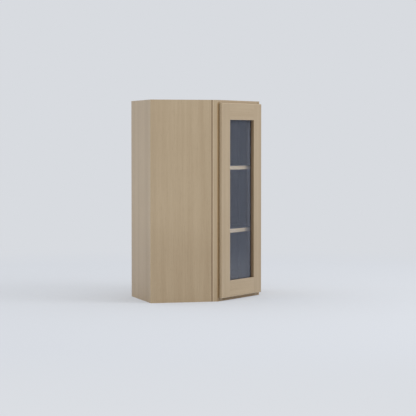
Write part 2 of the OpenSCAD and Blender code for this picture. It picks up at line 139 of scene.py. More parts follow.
class TreeMaker:
    """Adds nodes to one tree, for a material, the world or Geometry Nodes."""

    def __init__(self, tree: bpy.types.NodeTree) -> None:
        """Start with an empty tree."""
        self.tree = tree
        tree.nodes.clear()

    def make(self, kind: str, sockets: Inputs | None = None, **settings: Any) -> Node:
        """Add a node.

        Args:
            kind: The node's type.
            sockets: Values or links of its inputs, by name or by number. A list holds several
                links of one input.
            settings: Its properties, set first. "stops" holds the places and colours of a
                ramp's two ends.

        Returns:
            The new node.
        """
        node = self.tree.nodes.new(kind)
        for name, setting in settings.items():
            if name != "stops":
                setattr(node, name, setting)
                continue
            for element, (place, code) in zip(node.color_ramp.elements, setting):
                element.position, element.color = place, linear(code)
        for name, given in (sockets or {}).items():
            for one in given if isinstance(given, list) else [given]:
                self._feed(node.inputs[name], one)
        return node

    def _feed(self, target: Socket, given: Input) -> None:
        """Set or link one input.

        Args:
            target: The input.
            given: A value, a colour code, a socket, or a node for its first output.
        """
        if isinstance(given, Value):
            given = given.socket
        elif isinstance(given, Node):
            given = given.outputs[0]
        if isinstance(given, Socket):
            self.tree.links.new(given, target)
        elif isinstance(given, str) and given.startswith("#"):
            target.default_value = linear(given)
        else:
            target.default_value = given

    def number(self, node: Node, output: int | str = 0) -> Value:
        """Wrap one of a node's outputs."""
        return Value(self, node.outputs[output])

    def parts(self, vector: Input) -> tuple[Value, Value, Value]:
        """Split a vector into its three values."""
        node = self.make("ShaderNodeSeparateXYZ", {0: vector})
        return self.number(node, 0), self.number(node, 1), self.number(node, 2)

    def mix(self, share: Input, first: Input, second: Input, way: str = "MIX") -> Socket:
        """Mix two colours in one of the node's ways. The second shows by its share."""
        sockets = {0: share, 6: first, 7: second}
        return self.make("ShaderNodeMix", sockets, data_type="RGBA", blend_type=way).outputs[2]

    def over(self, share: Input, first: Node, second: Node) -> Node:
        """Mix two shaders. The second shows by its share."""
        return self.make("ShaderNodeMixShader", {0: share, 1: first, 2: second})


@dataclass(frozen=True)
class Surface:
    """What a finish looks like at each point, before it becomes a shader."""

    colour: Socket
    roughness: Value
    height: Value


class Shader(TreeMaker):
    """Builds one material's nodes."""

    def __init__(self, name: str) -> None:
        """Make an empty material.

        Args:
            name: The material's name.
        """
        self.material = bpy.data.materials.new(name)
        self.material.use_nodes = True
        super().__init__(self.material.node_tree)
        self.places = self.make("ShaderNodeTexCoord")

    def mapped(self, turn: float = 0.0, shift: Triple = (0.0, 0.0, 0.0)) -> Socket:
        """Object coordinates, moved by a shift and turned by some degrees about the upright."""
        sockets = {0: self.places.outputs["Object"], 1: shift, 2: (0.0, 0.0, math.radians(turn))}
        return self.make("ShaderNodeMapping", sockets, vector_type="POINT").outputs[0]

    def vector(self, operation: str, sockets: Inputs) -> Node:
        """Add a Vector Math node."""
        return self.make("ShaderNodeVectorMath", sockets, operation=operation)

    def scaled(self, vector: Input, by: Triple) -> Socket:
        """Stretch coordinates by a factor on each axis."""
        return self.vector("MULTIPLY", {0: vector, 1: by}).outputs[0]

    def dot(self, vector: Input, direction: Sequence[float]) -> Value:
        """How far a vector runs along a direction."""
        return self.number(self.vector("DOT_PRODUCT", {0: vector, 1: direction}), "Value")

    def facing(self, direction: Sequence[float]) -> Value:
        """The cosine of the angle between the surface's normal and a unit vector."""
        return self.dot(self.places.outputs["Normal"], direction)

    def noise(self, vector: Socket, scale: float, *layers: float) -> Value:
        """Soft noise from 0 to 1.

        Args:
            vector: Where it is read.
            scale: Spots in a metre.
            layers: How many finer layers it has, how strong those are, and how far it is warped.
                They are 2, 0.5 and 0 where they aren't given.

        Returns:
            The noise.
        """
        names = ("Detail", "Roughness", "Distortion")
        sockets = {"Vector": vector, "Scale": scale, **dict(zip(names, layers))}
        return self.number(self.make("ShaderNodeTexNoise", sockets, noise_dimensions="3D"))

    def ramp(self, value: Value, stops: Sequence[tuple[float, str]]) -> Socket:
        """Colours along a value from 0 to 1."""
        return self.make("ShaderNodeValToRGB", {0: value}, stops=stops).outputs[0]

    def blend(self, share: Value, first: Surface, second: Surface) -> Surface:
        """Lay one finish over another.

        Args:
            share: Where the second shows, from 0 to 1.
            first: The finish below.
            second: The finish above.

        Returns:
            The two as one finish.
        """
        return Surface(
            self.mix(share, first.colour, second.colour),
            first.roughness + (second.roughness - first.roughness) * share,
            first.height + (second.height - first.height) * share,
        )

    def away_from(self, start: Vector, stop: Vector) -> Value:
        """How far each point lies from a straight line between two places.

        Args:
            start: One end, in the piece's own coordinates.
            stop: The other end.

        Returns:
            The distance in metres.
        """
        run = (stop - start).length
        course = (stop - start) / run
        off = self.vector("SUBTRACT", {0: self.places.outputs["Object"], 1: start})
        held = self.dot(off, course).top(0.0).least(run)
        foot = self.vector("SCALE", {0: course, "Scale": held})
        return self.number(self.vector("DISTANCE", {0: off, 1: foot}), "Value")

    def close(self, shader: Node) -> Material:
        """Lead a shader to the material's output, and hand the material over."""
        self.make("ShaderNodeOutputMaterial", {0: shader})
        return self.material


# -------- finishes


class Finish(ABC):
    """A finish of its own, or a part of another one.

    Each pattern in capitals holds its spots in a metre and its layers, as noise takes them.
    """

    RELIEF = 0.00006  # how deep its height goes
    SETTINGS: Mapping[str, float] = {}  # further sockets of its shader

    @abstractmethod
    def surface(self, shader: Shader) -> Surface:
        """Lay the finish out in a material."""

    def material(self, name: str) -> Material:
        """Build a material of this finish.

        Args:
            name: Its name.

        Returns:
            The material.
        """
        shader = Shader(name)
        surface = self.surface(shader)
        heights = {"Strength": 1.0, "Distance": self.RELIEF, "Height": surface.height}
        sockets = {
            "Base Color": surface.colour,
            "Roughness": surface.roughness,
            "Normal": shader.make("ShaderNodeBump", heights),
            **self.SETTINGS,
        }
        return shader.close(shader.make("ShaderNodeBsdfPrincipled", sockets))


FIBRE = 0.022  # by which coordinates shrink along the grain, which draws the noise out
FRONT_TURN = -45.0  # degrees about the upright that bring the front's direction to X


class Grain(Enum):
    """Which way the grain of a board runs: upright, along the front, or out of the wall."""

    UPRIGHT = (1.0, 1.0, FIBRE)
    FRONT = (FIBRE, 1.0, 1.0)
    DEPTH = (1.0, FIBRE, 1.0)

    def run(self, shader: Shader, shift: Triple) -> tuple[Socket, Socket]:
        """Lay a plank's coordinates out.

        Args:
            shader: The material that they go into.
            shift: Which part of the plank the board was cut from.

        Returns:
            The coordinates, and the same drawn out along the grain.
        """
        wood = shader.mapped(FRONT_TURN if self is Grain.FRONT else 0.0, shift)
        return wood, shader.scaled(wood, self.value)


class Wipe(Enum):
    """How a line's colour goes into the wood: multiplied for painted shade, mixed for wear and for
    a painted highlight.
    """

    GATHERED = "MULTIPLY"
    RUBBED = "MIX"


SHADE_BROWN = "#8a6633"  # painted shade, multiplied into the wood in corners, joints and towards the foot


@dataclass(frozen=True)
class Trace:
    """What a line leaves beside it: painted shade in a corner, a painted highlight, wear on an edge
    and painted light on the glass.
    """

    full: float  # distance within which all of it shows
    reach: float  # distance past which none does
    depth: float
    colour: str = SHADE_BROWN
    wipe: Wipe = Wipe.GATHERED


@dataclass(frozen=True)
class Crease:
    """A straight line beside which painted shade, a painted highlight, wear or painted light on the
    glass shows.
    """

    start: Vector
    stop: Vector
    trace: Trace

    def share(self, shader: Shader) -> Value:
        """How much of it shows at each point, which is its depth close to the line."""
        distance = shader.away_from(self.start, self.stop)
        return distance.ease(self.trace.reach, self.trace.full) * self.trace.depth


@dataclass(frozen=True)
class Glaze:
    """Painted shade and highlights over stained wood, along its lines and darker towards the foot,
    with wear where its edges are worn pale.
    """

    LOW = (0.20, 0.40)  # heights below which the painted shade towards the foot is full, and above which there is none

    creases: tuple[Crease, ...] = ()
    # Share of painted shade towards the foot.
    settled: float = 0.0

    def over(self, shader: Shader, colour: Socket) -> Socket:
        """Lay the painted shade, highlights and wear over wood.

        Args:
            shader: The material that it goes into.
            colour: The wood's colour.

        Returns:
            The colour with these painted in.
        """
        # Painted shade, darker towards the foot.
        if self.settled:
            low = shader.parts(shader.mapped())[2].ease(self.LOW[1], self.LOW[0])
            colour = shader.mix(low * self.settled, colour, SHADE_BROWN, Wipe.GATHERED.value)
        # Painted shade in corners and joints, a painted highlight, and wear along the lines.
        for crease in self.creases:
            trace = crease.trace
            colour = shader.mix(crease.share(shader), colour, trace.colour, trace.wipe.value)
        return colour


@dataclass(frozen=True)
class StainedWood(Finish):
    """Pale grey-brown stain on fine straight grain under satin lacquer, with painted shade,
    highlights and wear.
    """

    RELIEF = 0.00008
    SETTINGS = {"Coat Weight": 0.1, "Coat Roughness": 0.3, "IOR": 1.5}
    BANDS = (2.0, 0.45, 0.35)  # the layers alone
    LINES = (190.0, 3.0, 0.6, 0.2)
    FIBRES = (900.0, 2.0, 0.6)
    PORES = (1500.0, 1.0)
    CLOUD = 2.6

    grain: Grain
    shift: Triple
    glaze: Glaze = Glaze()
    light: str = "#bca88a"
    dark: str = "#a79172"
    pore: str = "#7f6a4e"
    bands: float = 34.0  # broad stripes in a metre

    def surface(self, shader: Shader) -> Surface:
        """Lay the finish out on a board.

        Args:
            shader: The material that it goes into.

        Returns:
            The finish.
        """
        wood, run = self.grain.run(shader, self.shift)
        bands = shader.noise(run, self.bands, *self.BANDS)
        lines = shader.noise(run, *self.LINES)
        fibres = shader.noise(run, *self.FIBRES)
        cloud = shader.noise(wood, self.CLOUD)
        pores = shader.noise(run, *self.PORES).ease(0.64, 0.76)
        tone = 0.5 + (bands - 0.5) * 0.9 + (lines - 0.5) * 0.5
        tone = tone + (cloud - 0.5) * 0.5 + (fibres - 0.5) * 0.25
        colour = shader.ramp(tone, [(0.15, self.dark), (0.85, self.light)])
        colour = self.glaze.over(shader, shader.mix(pores * 0.4, colour, self.pore))
        roughness = 0.40 + (lines - 0.5) * 0.12 + pores * 0.15
        return Surface(colour, roughness, lines * 0.5 + fibres * 0.35 - pores * 0.5)


@dataclass(frozen=True)
class Clouded(Finish):
    """An even finish with faint clouds and a fine skin."""

    CLOUD = (120.0,)
    SKIN = (1400.0, 2.0, 0.6)
    CONTRAST = (0.6, 0.4)  # of the clouds and of the skin

    colour: str
    shade: str
    roughness: float

    def surface(self, shader: Shader) -> Surface:
        """Lay the finish out.

        Args:
            shader: The material that it goes into.

        Returns:
            The finish.
        """
        place = shader.mapped()
        cloud, skin = shader.noise(place, *self.CLOUD), shader.noise(place, *self.SKIN)
        tone = 0.5 + (cloud - 0.5) * self.CONTRAST[0] + (skin - 0.5) * self.CONTRAST[1]
        colour = shader.ramp(tone, [(0.1, self.shade), (0.9, self.colour)])
        return Surface(colour, self.roughness + (skin - 0.5) * 0.2, skin)


class Moulded(Clouded):
    """Moulded rubber or plastic."""

    RELIEF = 0.00002


class Milky(Moulded):
    """Plastic that light enters a little."""

    SETTINGS = {"Subsurface Weight": 0.15}


class Laminate(Clouded):
    """Matt laminate, as on the inside of the case and on the shelves."""

    RELIEF = 0.00005
    CLOUD = (9.0, 4.0, 0.6)
    SKIN = (620.0, 2.0, 0.6)
    CONTRAST = (0.6, 0.7)


@dataclass(frozen=True)
class CutPlywood(Finish):
    """The cut edge of plywood, with its crossed layers."""

    GRIT = (700.0, 3.0, 0.7)

    across: Sequence[float]  # the direction through the board
    pale: str = "#cdb992"
    deep: str = "#97805c"
    layer: float = 0.0024

    def surface(self, shader: Shader) -> Surface:
        """Lay the layers out.

        Args:
            shader: The material that they go into.

        Returns:
            The finish.
        """
        place = shader.mapped()
        count = shader.dot(place, self.across) * (0.5 / self.layer)
        stripe = abs((count % 1.0) - 0.5) * 2.0
        grit = shader.noise(place, *self.GRIT)
        tone = stripe.ease(0.35, 0.65) * 0.7 + (grit - 0.5) * 0.6 + 0.15
        colour = shader.ramp(tone, [(0.0, self.deep), (1.0, self.pale)])
        return Surface(colour, 0.7 + (grit - 0.5) * 0.2, grit)


@dataclass(frozen=True)
class BareVeneer(Finish):
    """The plain unfinished face of plywood, out of sight when the cabinet hangs."""

    WAVES = (22.0, 3.0, 0.6, 1.2)
    LINES = (260.0, 3.0, 0.6)

    grain: Grain
    shift: Triple
    pale: str = "#cbb896"
    deep: str = "#b29c79"

    def surface(self, shader: Shader) -> Surface:
        """Lay the finish out.

        Args:
            shader: The material that it goes into.

        Returns:
            The finish.
        """
        run = self.grain.run(shader, self.shift)[1]
        waves, lines = shader.noise(run, *self.WAVES), shader.noise(run, *self.LINES)
        colour = shader.ramp(waves * 0.7 + lines * 0.3, [(0.25, self.deep), (0.75, self.pale)])
        return Surface(colour, 0.66 + (lines - 0.5) * 0.2, lines)


@dataclass(frozen=True)
class CasePanel(Finish):
    """A panel with stained veneer outside, slate laminate inside and cut plywood edges.

    The slate ends at the decks, so the rims that stand past them are veneered on both sides.
    """

    RELIEF = StainedWood.RELIEF
    SETTINGS = StainedWood.SETTINGS

    inside: Sequence[float]
    veneer: StainedWood
    decks: Pair

    def surface(self, shader: Shader) -> Surface:
        """Lay the finish out.

        Args:
            shader: The material that it goes into.

        Returns:
            The finish.
        """
        veneer, slate = self.veneer.surface(shader), SLATE.surface(shader)
        turned = shader.facing(self.inside)
        up = shader.parts(shader.mapped())[2]
        room = (up > self.decks[0]) * (up < self.decks[1])
        faces = shader.blend((turned > ALIKE) * room, veneer, slate)
        return shader.blend(abs(turned) < ALIKE, faces, CutPlywood(self.inside).surface(shader))


@dataclass(frozen=True)
class Deck(Finish):
    """The top or bottom panel: slate laminate inside the case, bare veneer outside."""

    inside: Sequence[float]

    def surface(self, shader: Shader) -> Surface:
        """Lay the finish out, as one over the other."""
        bare = BareVeneer(Grain.DEPTH, (0.3, 0.1, 0.0)).surface(shader)
        return shader.blend(shader.facing(self.inside) > ALIKE, bare, SLATE.surface(shader))


class BarePlywood(Finish):
    """Bare plywood, as on the glue blocks."""

    def surface(self, shader: Shader) -> Surface:
        """Lay the finish out, with layers on all upright sides."""
        bare = BareVeneer(Grain.FRONT, (0.0, 0.4, 0.0)).surface(shader)
        return shader.blend(abs(shader.facing(UP)) < ALIKE, bare, CutPlywood(UP).surface(shader))


@dataclass(frozen=True)
class Plated(Finish):
    """Plated metal: nickel on the hinges and pegs, zinc on the screws."""

    RELIEF = 0.00001
    SETTINGS = {"Metallic": 1.0}
    CLOUD = (160.0, 3.0, 0.6)
    BRUSH = (3200.0, 2.0, 0.6)
    DRAWN = (1.0, 1.0, 0.06)  # shrinks coordinates, which draws the marks upright

    colour: str
    shade: str
    roughness: float

    def surface(self, shader: Shader) -> Surface:
        """Lay the finish out.

        Args:
            shader: The material that it goes into.

        Returns:
            The finish.
        """
        place = shader.mapped()
        cloud = shader.noise(place, *self.CLOUD)
        brush = shader.noise(shader.scaled(place, self.DRAWN), *self.BRUSH)
        colour = shader.ramp(cloud, [(0.25, self.shade), (0.75, self.colour)])
        return Surface(colour, self.roughness + (brush - 0.5) * 0.16 + (cloud - 0.5) * 0.1, brush)


@dataclass(frozen=True)
class FloatGlass:
    """Clear glass of low IOR under a faint cool diffuse layer, which lamps shine through.

    The layer paints in the pane's reflection. More of it towards the lower edge, between the two
    given heights, paints the floor's reflection, and more in the right and upper corners paints
    light over the shade of the door's frame.
    """

    SMEARS = (14.0, 3.0, 0.55)  # spots in a metre, and their layers
    WIPED = (1.0, 1.0, 0.4)  # shrinks coordinates, which draws the smears upright

    # Heights between which more of the diffuse layer paints the floor's reflection, low on the
    # pane.
    settled: Pair
    # Lines along which the diffuse layer paints light over the shade of the door's frame.
    corners: tuple[Crease, ...] = ()
    tint: Triple = (0.97, 0.985, 0.98)
    # The diffuse layer that paints the pane's reflection: its colour, its share, and its extra
    # share low down.
    haze: str = "#b0b6c8"
    film: float = 0.071
    dust: float = 0.028
    ior: float = 1.15

    def material(self, name: str) -> Material:
        """Build the material.

        Args:
            name: Its name.

        Returns:
            The material.
        """
        shader = Shader(name)
        tint = (*self.tint, 1.0)
        bending = {"Roughness": 0.0, "IOR": self.ior, "Transmission Weight": 1.0}
        glass = shader.make("ShaderNodeBsdfPrincipled", {"Base Color": tint, **bending})
        haze = shader.make("ShaderNodeBsdfDiffuse", {0: self.haze})
        place = shader.mapped()
        smear = shader.noise(shader.scaled(place, self.WIPED), *self.SMEARS) - 0.5
        # Painted reflection and painted light, in the diffuse layer's share.
        low = shader.parts(place)[2].ease(self.settled[1], self.settled[0])
        share = self.film + low * self.dust + smear * (self.film * 0.3)
        for corner in self.corners:
            share = share + corner.share(shader)
        seen = shader.over(share, glass, haze)
        clear = shader.make("ShaderNodeBsdfTransparent", {0: tint})
        shade = shader.number(shader.make("ShaderNodeLightPath"), "Is Shadow Ray")
        return shader.close(shader.over(shade, seen, clear))


SLATE = Laminate("#686d79", "#575c67", 0.52)
NICKEL = Plated("#c4c3bf", "#a9a8a4", 0.28)
ZINC = Plated("#b3b6ba", "#94979b", 0.34)
MAGNET = Plated("#7b7d80", "#5f6164", 0.3)
RUBBER = Moulded("#524c44", "#423d37", 0.72)
BLACK_PLASTIC = Moulded("#232427", "#18191b", 0.45)
SOFT_PLASTIC = Milky("#cfd4d7", "#bcc2c6", 0.3)


# -------- pieces


def dress(material: Material, *nodes: str) -> None:
    """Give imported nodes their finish.

    Args:
        material: What they are made of.
        nodes: Their names.
    """
    for node in nodes:
        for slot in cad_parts[node].material_slots:
            slot.material = material
        log.info("%s: dressed in %s", node, material.name)


def span(node: str, direction: Vector) -> Pair:
    """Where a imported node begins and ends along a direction."""
    reach = [direction.dot(v.co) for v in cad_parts[node].data.vertices]
    return min(reach), max(reach)


def add(name: str, data: Any) -> bpy.types.Object:
    """Put a new object in the scene.

    Args:
        name: Its name.
        data: Its mesh, lamp or camera.

    Returns:
        The object.
    """
    thing = bpy.data.objects.new(name, data)
    bpy.context.scene.collection.objects.link(thing)
    return thing


def solids_of(node: str) -> list[np.ndarray]:
    """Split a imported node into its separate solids.

    Args:
        node: The node's name.

    Returns:
        The corner points of each solid.
    """
    mesh = bmesh.new()
    mesh.from_mesh(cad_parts[node].data)
    bmesh.ops.remove_doubles(mesh, verts=mesh.verts[:], dist=HAIR / 10)
    solids = []
    left = dict.fromkeys(mesh.verts)  # in their order
    while left:
        group = [next(iter(left))]
        del left[group[0]]
        for vert in group:
            for edge in vert.link_edges:
                other = edge.other_vert(vert)
                if other in left:
                    del left[other]
                    group.append(other)
        solids.append(np.array([v.co[:] for v in group]))
    mesh.free()
    return solids


class GeometryTree(TreeMaker):
    """A Geometry Nodes tree with named inputs for its sizes."""

    SMOOTH = 32.0  # degrees between two faces, below which they shade as one

    def __init__(self, name: str, sizes: Mapping[str, float | Vector], seed: int) -> None:
        """Make the tree and its sockets.

        Args:
            name: The tree's name.
            sizes: Defaults of its sizes by socket name.
            seed: What it starts random numbers from.
        """
        super().__init__(bpy.data.node_groups.new(name, "GeometryNodeTree"))
        face = self.tree.interface
        for way in ("OUTPUT", "INPUT"):
            face.new_socket("Geometry", in_out=way, socket_type="NodeSocketGeometry")
        self.keys: dict[str, str] = {}
        for label, value in {**sizes, "Seed": seed, "Material": None}.items():
            kind = {float: "Float", Vector: "Vector", int: "Int"}.get(type(value), "Material")
            socket = face.new_socket(label, in_out="INPUT", socket_type="NodeSocket" + kind)
            if value is not None:
                socket.default_value = value
            self.keys[label] = socket.identifier
        self.given = self.make("NodeGroupInput")

    def size(self, label: str) -> Value:
        """One of the tree's named inputs."""
        return self.number(self.given, label)

    def close(self, geometry: Node) -> None:
        """Realize what was made, give it its material and lead it out.

        Args:
            geometry: What the tree makes.
        """
        real = self.make("GeometryNodeRealizeInstances", {0: geometry})
        sockets = {"Geometry": real, "Material": self.size("Material")}
        dressed = self.make("GeometryNodeSetMaterial", sockets)
        self.make("NodeGroupOutput", {0: dressed})

    def apply(
        self, name: str, points: bpy.types.Object, sizes: Mapping[str, Any]
    ) -> bpy.types.Object:
        """Run the tree on points and keep the result as a plain mesh.

        Args:
            name: The new piece's name.
            points: Where its copies stand. It is removed afterwards.
            sizes: Values of the named inputs.

        Returns:
            The new piece, at the origin.
        """
        modifier = points.modifiers.new("made", "NODES")
        modifier.node_group = self.tree
        for label, value in sizes.items():
            modifier[self.keys[label]] = value
        bpy.context.view_layer.update()
        ready = points.evaluated_get(bpy.context.evaluated_depsgraph_get())
        mesh = bpy.data.meshes.new_from_object(ready)
        mesh.name = name
        source = points.data
        bpy.data.objects.remove(points)
        bpy.data.meshes.remove(source)
        mesh.shade_smooth()
        mesh.set_sharp_from_angle(angle=math.radians(self.SMOOTH))
        return add(name, mesh)


class Head(Enum):
    """The head of a wood screw, as the share of its radius that is left at its top."""

    PAN = 0.62
    FLAT = 0.9


class ScrewMaker(GeometryTree):
    """Makes screws with a cross recess in place of the plain ones."""

    RIM = 0.35  # share of the head's height below its dome
    TIP = 0.45  # the shank's radius at its tip, as a share of the rest
    SIDES = 20  # faces round a screw
    SEED = 7
    BAR = (1.05, 0.24, 1.1)  # length, width and height of a recess's bar, as shares of the head

    def __init__(self) -> None:
        """Build the tree once for all the sets."""
        sizes = {
            "Head Radius": 0.0032,
            "Head Height": 0.0018,
            "Dome Share": 0.6,
            "Shank Radius": 0.0016,
            "Shank Length": 0.011,
            "Recess Width": 0.0007,
            "Axis": UP,
        }
        super().__init__("cross_recess_screws", sizes, self.SEED)
        radius, height = self.size("Head Radius"), self.size("Head Height")
        shank, drop = self.size("Shank Radius"), self.size("Shank Length")
        crown, dome = radius * self.size("Dome Share"), height * (1 - self.RIM)
        parts = [
            self._cone(radius, radius, height * self.RIM, 0.0),
            self._cone(radius, crown, dome, height * self.RIM),
            self._cone(shank * self.TIP, shank, drop, drop * -1.0),
        ]
        body = self._boolean("UNION", {1: parts})
        width = self.size("Recess Width")
        lengths = {"X": radius * self.BAR[0], "Y": width, "Z": height * self.BAR[2]}
        size = self.make("ShaderNodeCombineXYZ", lengths)
        bar = self.make("GeometryNodeMeshCube", {"Size": size})
        cross = [self._placed(bar, height, turn) for turn in (0.0, math.pi / 2)]
        cut = self._boolean("DIFFERENCE", {0: body, 1: cross})
        axis = {"Vector": self.size("Axis")}
        upright = self.make("FunctionNodeAlignRotationToVector", axis, axis="Z")
        draw = {2: 0.0, 3: math.pi, "Seed": self.size("Seed")}
        spin = self.make("FunctionNodeRandomValue", draw, data_type="FLOAT").outputs[1]
        around = self.make("FunctionNodeAxisAngleToRotation", {"Axis": UP, "Angle": spin})
        both = {0: upright, 1: around}
        turned = self.make("FunctionNodeRotateRotation", both, rotation_space="LOCAL")
        places = {"Points": self.size("Geometry"), "Instance": cut, "Rotation": turned}
        self.close(self.make("GeometryNodeInstanceOnPoints", places))

    def _placed(self, mesh: Node, lift: Operand, turn: float = 0.0) -> Node:
        """Move a part up the screw's axis, and turn it about that."""
        offset = self.make("ShaderNodeCombineXYZ", {"Z": lift})
        return self.make("GeometryNodeTransform", {0: mesh, 1: offset, 2: (0.0, 0.0, turn)})

    def _boolean(self, operation: str, sockets: Inputs) -> Node:
        """Join or cut solids, by the one solver that leaves closed and steady meshes here."""
        return self.make("GeometryNodeMeshBoolean", sockets, operation=operation, solver="MANIFOLD")

    def _cone(self, bottom: Value, top: Value, depth: Value, lift: Operand) -> Node:
        """Add a cut cone that stands on its base, with radii at its bottom and top."""
        sizes = {"Vertices": self.SIDES, "Radius Top": top, "Radius Bottom": bottom, "Depth": depth}
        return self._placed(self.make("GeometryNodeMeshCone", sizes), lift)

    def replace(
        self, name: str, node: str, body: str, head: Head, axis: Vector, material: Material
    ) -> bpy.types.Object:
        """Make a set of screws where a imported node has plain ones.

        Args:
            name: The new piece's name.
            node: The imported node.
            body: What the screws move with.
            head: The shape of their heads.
            axis: The direction that the heads face.
            material: What they are made of.

        Returns:
            The new piece.
        """
        across = UP if abs(axis.dot(UP)) < ALIKE else ALONG
        side = axis.cross(across)
        seats = []
        for solid in solids_of(node):
            along = np.round(solid @ np.array(axis), DECIMALS)
            levels = sorted(set(along.tolist()))
            centre = axis * levels[-2]  # on the head's underside
            for direction in (across, side):
                spread = solid @ np.array(direction)
                centre = centre + direction * float((spread.min() + spread.max()) / 2)
            seats.append(centre)
        mesh = bpy.data.meshes.new(name + "_places")
        mesh.from_pydata([tuple(s) for s in seats], [], [])
        # A set's screws are alike, so the last one gives their sizes.
        spread = solid @ np.array(across)
        radius = float(np.ptp(spread[along >= levels[-1] - HAIR]) / 2)
        sizes = {
            "Head Radius": radius,
            "Head Height": levels[-1] - levels[-2],
            "Dome Share": head.value,
            "Shank Radius": float(np.ptp(spread[along <= levels[0] + HAIR]) / 2),
            "Shank Length": levels[-2] - levels[0],
            "Recess Width": radius * self.BAR[1],
            "Axis": tuple(axis),
            "Material": material,
        }
        piece = self.apply(name, add(mesh.name, mesh), sizes)
        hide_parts(node)
        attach(piece, body)
        log.info("%s: %d screws, %d faces", name, len(seats), len(piece.data.polygons))
        return piece


class Half(Enum):
    """One of two opposite places, numbered as the pairs of edges in FrontLines are."""

    def __str__(self) -> str:
        """What its pieces are called by."""
        return self.name.lower()


class Side(Half):
    """The two sides of the cabinet, which mirror each other across its diagonal."""

    LEFT = 0
    RIGHT = 1


class End(Half):
    """The lower and the upper end of the door and its frame."""

    BOTTOM = 0
    TOP = 1


def on_front(trace: Trace, depth: float, across: Pair | float, up: Pair | float) -> Crease:
    """Draw a line at a depth in the front.

    Args:
        trace: What it leaves.
        depth: How far it lies inward of the diagonal's middle.
        across: Where it begins and ends along the front, or the one place of an upright line.
        up: The heights of its ends, or the one height of a level line.

    Returns:
        The line.
    """
    ends = [given if isinstance(given, tuple) else (given, given) for given in (across, up)]
    start, stop = (ALONG * x + INWARD * depth + UP * z for x, z in zip(*ends))
    return Crease(start, stop, trace)


